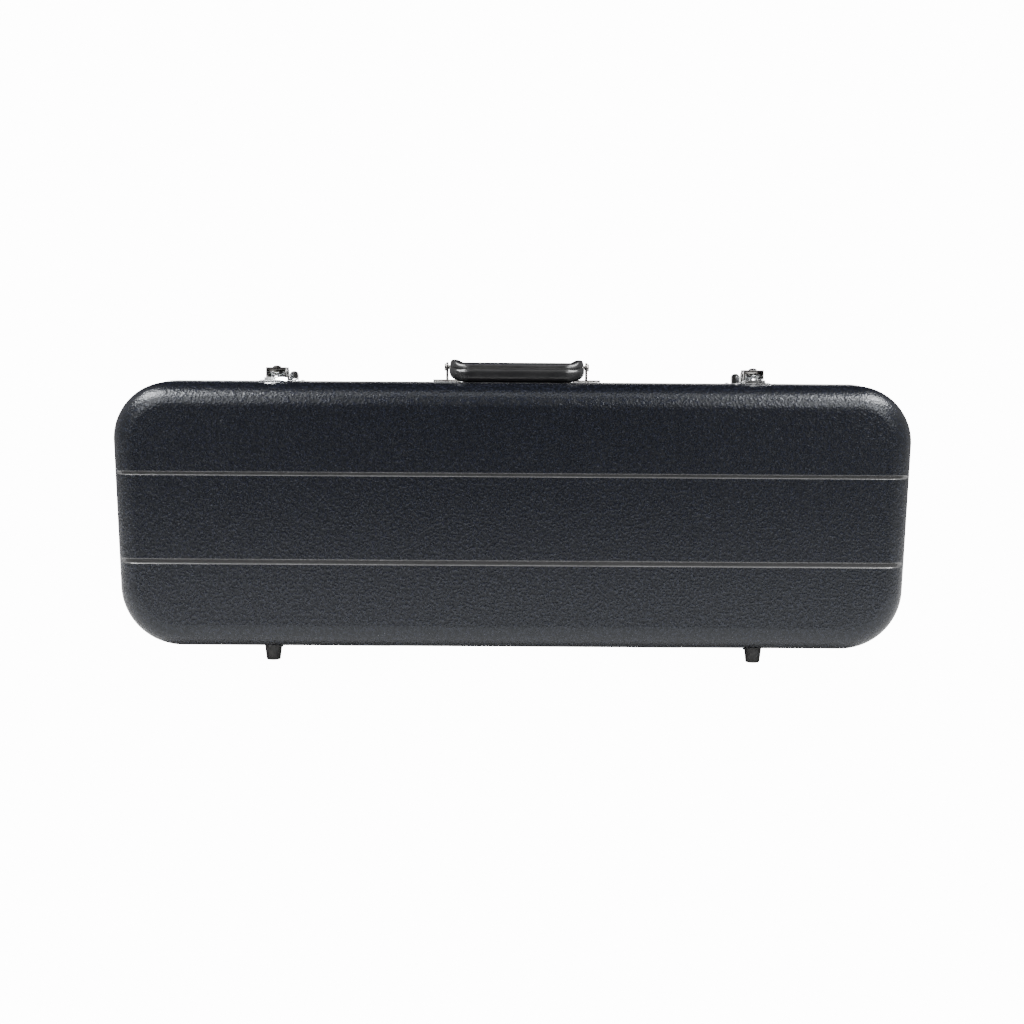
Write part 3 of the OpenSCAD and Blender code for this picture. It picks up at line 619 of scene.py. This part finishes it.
def build_grip():
    """A U of moulded plastic: a bar along the front, and an arm back to each pin."""
    low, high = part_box("handle_grip")
    middle_x = (low.x + high.x) / 2
    right = grip_stations(low, high)
    left = [(-x, y, -nx, ny, *rest) for x, y, nx, ny, *rest in reversed(right[1:])]
    verts = []
    for x, y, nx, ny, half, bottom, top, size in left + right:
        for offset, up in grip_profile(half, (top - bottom) * size, abs(nx)):
            verts.append((middle_x + x + nx * offset, y + ny * offset, (bottom + top) / 2 + up))
    count = len(left) + len(right)
    faces = []
    for k in range(count - 1):
        for i in range(GRIP_AROUND):
            j = (i + 1) % GRIP_AROUND
            faces.append((k * GRIP_AROUND + i, k * GRIP_AROUND + j, (k + 1) * GRIP_AROUND + j,
                          (k + 1) * GRIP_AROUND + i))
    faces.append(tuple(range(GRIP_AROUND)))
    faces.append(tuple((count - 1) * GRIP_AROUND + i for i in range(GRIP_AROUND)))
    piece = mesh_object("handle_grip_moulded", verts, faces, (GRIP,))
    make_normals_outward(piece)
    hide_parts("handle_grip")
    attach(piece, "handle")


build_grip()


# ---------------------------------------------------------------- soft interior

CLOTH_FRAMES = 20
QUILT_LINE = 2.6 * MM
QUILT_FADE = 12 * MM
QUILT_REACH = 1.2 * MM


def hand_in_soft(piece, node, material, body):
    """Finishes a soft piece, hides the node it stands for and attaches it to its body."""
    piece.data.materials.append(material)
    shade_smooth(piece.data)
    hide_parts(node)
    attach(piece, body)


def soft_copy(node, name, voxel, smoothing, material, body):
    """The node's shape with its edges rolled over, as plush pulled round foam."""
    piece = remeshed(copy_of(node, name), voxel, smoothing)
    hand_in_soft(piece, node, material, body)
    return piece


def padded_by_cloth(node, name, voxel, shrink, cap, pressure, material, body):
    """Swells a slightly smaller copy of the node under pressure, and caps how far it moves."""
    piece = remeshed(copy_of(node, name), voxel, 2, 0.3)
    low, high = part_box(node)
    centre = (low + high) / 2
    for vertex in piece.data.vertices:
        for axis in range(3):
            share = max(0.5, 1 - 2 * shrink / (high[axis] - low[axis]))
            vertex.co[axis] = centre[axis] + (vertex.co[axis] - centre[axis]) * share
    start = [vertex.co.copy() for vertex in piece.data.vertices]
    cloth = piece.modifiers.new("cloth", "CLOTH")
    cloth.settings.use_pressure = True
    cloth.settings.uniform_pressure_force = pressure
    cloth.settings.effector_weights.gravity = 0
    cloth.settings.quality = 4
    scene = bpy.context.scene
    for number in range(1, CLOTH_FRAMES + 1):
        scene.frame_set(number)
    apply_modifiers(piece)
    scene.frame_set(1)
    for vertex, before in zip(piece.data.vertices, start):
        step = vertex.co - before
        if step.length > cap:
            vertex.co = before + step * (cap / step.length)
    piece.modifiers.new("finer", "SUBSURF").levels = 1
    apply_modifiers(piece)
    hand_in_soft(piece, node, material, body)


def quilt(piece, low, high, pitch, depth, face):
    """Presses a diamond pattern of stitched channels into the broad face at y = face."""
    for vertex in piece.data.vertices:
        point = vertex.co
        if abs(point.y - face) > QUILT_REACH:
            continue
        inside = min(point.x - low[0], high[0] - point.x, point.z - low[1], high[1] - point.z)
        if inside <= 0:
            continue
        a = (point.x + point.z) / pitch
        b = (point.x - point.z) / pitch
        near = min(abs(a - round(a)), abs(b - round(b))) * pitch
        fade = min(1.0, inside / QUILT_FADE)
        point.y -= fade * depth * math.exp(-(near / QUILT_LINE) ** 2)


def piping(name, points, y, body, radius=1.3 * MM, around=10):
    """A sewn edging of plush along a closed line on a face at y."""
    verts = []
    faces = []
    count = len(points)
    for i, point in enumerate(points):
        before, after = points[i - 1], points[(i + 1) % count]
        along = (after - before).normalized()
        side = along.cross(Vector((0, 1, 0)))
        for k in range(around):
            a = 2 * math.pi * k / around
            spot = point + side * radius * math.cos(a)
            verts.append((spot.x, y + radius * math.sin(a), spot.z))
    for i in range(count):
        for k in range(around):
            a = i * around
            b = (i + 1) % count * around
            j = (k + 1) % around
            faces.append((a + k, a + j, b + j, b + k))
    piece = mesh_object(name, verts, faces, (PIPING,))
    make_normals_outward(piece)
    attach(piece, body)


def rounded_rectangle(low, high, r, steps=8):
    """Points round a rectangle with round corners, anticlockwise from the lower right."""
    points = []
    for cx, cz, start in ((high[0] - r, low[1] + r, -90), (high[0] - r, high[1] - r, 0),
                          (low[0] + r, high[1] - r, 90), (low[0] + r, low[1] + r, 180)):
        for k in range(steps + 1):
            a = math.radians(start + 90 * k / steps)
            points.append(Vector((cx + r * math.cos(a), 0, cz + r * math.sin(a))))
    return points


LINING_THICK = 6 * MM
QUILT_HALF_X = 360 * MM
QUILT_HALF_Z = 95 * MM
END_POCKET = ((264 * MM, 46 * MM), (380 * MM, 251 * MM))

soft_copy("foam_bed", "foam_bed_plush", 3.5 * MM, 3, PLUSH, "base")
lining = soft_copy("lid_lining", "lid_lining_plush", 3.0 * MM, 2, PLUSH, "lid")
quilt(lining, (-QUILT_HALF_X, MID_Z - QUILT_HALF_Z), (QUILT_HALF_X, MID_Z + QUILT_HALF_Z),
      46 * MM, 2.2 * MM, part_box("lid_lining")[0].y + LINING_THICK)
piping("end_pocket_piping", rounded_rectangle(*END_POCKET, 10 * MM),
       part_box("foam_bed")[0].y + 0.4 * MM, "base")
padded_by_cloth("neck_cradle", "neck_cradle_plush", 4 * MM, 1.2 * MM, 2.0 * MM, 4.0, PLUSH, "base")
soft_copy("pocket_divider", "pocket_divider_plush", 1.8 * MM, 4, PLUSH, "base")
soft_copy("accessory_lid", "accessory_lid_plush", 0.9 * MM, 3, PLUSH, "accessory_lid")
for side in ("upper", "lower"):
    soft_copy("bow_tip_pocket_" + side, "bow_tip_sleeve_" + side, 0.8 * MM, 4, CLOTH, "lid")


# ---------------------------------------------------------------- floor, light and camera

FLOOR_X = 1.4
FLOOR_Y = 0.8
WORLD_DIM = 0.03
WORLD_WALL = 0.8
WORLD_SEEN = 14.0
WALL_START = 0.35
WALL_FULL = 0.95
CAMERA_AWAY = 1.65
CAMERA_ABOVE = 2 * MM
CAMERA_LENS = 56.25
CAMERA_ROLL = math.radians(0.36)


def build_stage():
    """A pale floor that throws light up at the case, unseen by the camera."""
    corners = [(-FLOOR_X, -FLOOR_Y, 0), (FLOOR_X, -FLOOR_Y, 0), (FLOOR_X, FLOOR_Y, 0),
               (-FLOOR_X, FLOOR_Y, 0)]
    pale = new_material("floor", (0.75, 0.75, 0.75), 0.9)
    floor = mesh_object("floor", corners, [(0, 1, 2, 3)], (pale,))
    floor.visible_camera = False
    floor.visible_shadow = False


def build_world():
    """A dim room with bright walls at the two ends of the case.  The camera sees only white."""
    world = bpy.data.worlds.new("studio")
    bpy.context.scene.world = world
    world.use_nodes = True
    tree = world.node_tree
    background = tree.nodes["Background"]
    background.inputs["Color"].default_value = (1, 1, 1, 1)
    direction = tree.nodes.new("ShaderNodeTexCoord")
    split = tree.nodes.new("ShaderNodeSeparateXYZ")
    across = tree.nodes.new("ShaderNodeMath")
    across.operation = "ABSOLUTE"
    wall = tree.nodes.new("ShaderNodeMapRange")
    wall.inputs["From Min"].default_value = WALL_START
    wall.inputs["From Max"].default_value = WALL_FULL
    wall.inputs["To Min"].default_value = WORLD_DIM
    wall.inputs["To Max"].default_value = WORLD_WALL
    ray = tree.nodes.new("ShaderNodeLightPath")
    seen = tree.nodes.new("ShaderNodeMix")
    seen.inputs["B"].default_value = WORLD_SEEN
    tree.links.new(direction.outputs["Generated"], split.inputs["Vector"])
    tree.links.new(split.outputs["X"], across.inputs[0])
    tree.links.new(across.outputs["Value"], wall.inputs["Value"])
    tree.links.new(wall.outputs["Result"], seen.inputs["A"])
    tree.links.new(ray.outputs["Is Camera Ray"], seen.inputs["Factor"])
    tree.links.new(seen.outputs["Result"], background.inputs["Strength"])


def area_light(name, place, aim, size, power):
    """A soft light that the camera doesn't see, aimed at a point."""
    data = bpy.data.lights.new(name, "AREA")
    data.shape = "RECTANGLE"
    data.size, data.size_y = size
    data.energy = power
    lamp = bpy.data.objects.new(name, data)
    bpy.context.scene.collection.objects.link(lamp)
    lamp.location = place
    lamp.visible_camera = False
    lamp.rotation_euler = (Vector(aim) - Vector(place)).to_track_quat("-Z", "Y").to_euler()


def build_camera():
    """A camera level with the case's top edge, looking at its middle."""
    aim = Vector((0.0, 0.0, MID_Z))
    eye = Vector((0.0, -CAMERA_AWAY, TOP_Z + CAMERA_ABOVE))
    data = bpy.data.cameras.new("camera")
    data.lens = CAMERA_LENS
    camera = bpy.data.objects.new("camera", data)
    bpy.context.scene.collection.objects.link(camera)
    turn = (aim - eye).to_track_quat("-Z", "Y").to_matrix().to_4x4()
    roll = Matrix.Rotation(CAMERA_ROLL, 4, "Z")
    camera.matrix_world = Matrix.Translation(eye) @ turn @ roll
    bpy.context.scene.camera = camera


# Each light: name, place, what it is aimed at, length and width in metres, and watts
LIGHTS = (
    ("left_softbox", (-0.95, -0.42, 1.25), (-0.35, -0.05, 0.25), (0.8, 0.32), 46),
    ("right_softbox", (0.95, -0.42, 1.25), (0.35, -0.05, 0.25), (0.8, 0.32), 46),
    ("top_strip", (0, -0.48, 1.3), (0, -0.05, 0.25), (0.9, 0.16), 2.5),
    ("left_fill", (-1.05, -1.7, 1.15), (-0.4, 0, 0.2), (0.7, 0.7), 18),
    ("right_fill", (1.05, -1.7, 1.15), (0.4, 0, 0.2), (0.7, 0.7), 26),
    ("back_fill", (0, 2.0, 0.4), (0, 0, 0.15), (1.6, 0.5), 6),
)

build_stage()
build_world()
for light in LIGHTS:
    area_light(*light)
build_camera()
